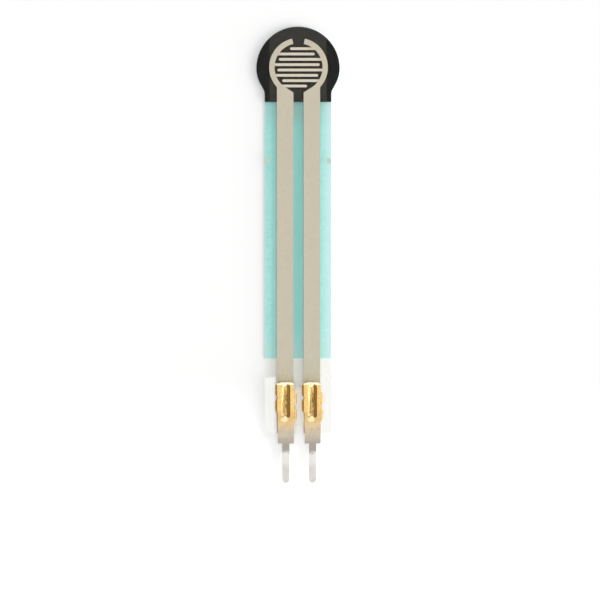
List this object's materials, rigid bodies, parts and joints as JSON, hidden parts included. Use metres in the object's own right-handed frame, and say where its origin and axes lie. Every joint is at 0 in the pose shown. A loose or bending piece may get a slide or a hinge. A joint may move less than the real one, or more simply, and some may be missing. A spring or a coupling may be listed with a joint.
{
  "type": "force sensing resistor",
  "caption": "Round film force sensor on a flat clear tail, with an interleaved silver electrode over black ink, a teal release liner behind and crimped solder tabs.",
  "frame": {"origin": "centre of the round head on the outer face of the release liner, the face that the part lies on", "axes": "+Y from the solder tabs along the tail to the head, +Z out of the sensing face, +X to the right seen from above"},
  "size_m": [0.008, 0.0435, 0.0006],
  "materials": {
    "liner": "teal translucent liner film, faint sheen",
    "adhesive": "clear adhesive",
    "clear_film": "clear glossy polyester film",
    "carbon_ink": "black carbon ink",
    "silver_ink": "warm grey silver-filled ink, dull sheen",
    "tab_metal": "bronze, gold plated over the crimp and tinned on the pin"
  },
  "bodies": {
    "root": {"release_liner": "liner", "rear_adhesive": "adhesive", "base_film": "clear_film", "sensing_ink": "carbon_ink", "spacer_adhesive": "adhesive", "left_electrode": "silver_ink", "right_electrode": "silver_ink", "edge_marks": "silver_ink", "electrode_film": "clear_film", "left_tab": "tab_metal", "right_tab": "tab_metal"}
  },
  "joints": []
}
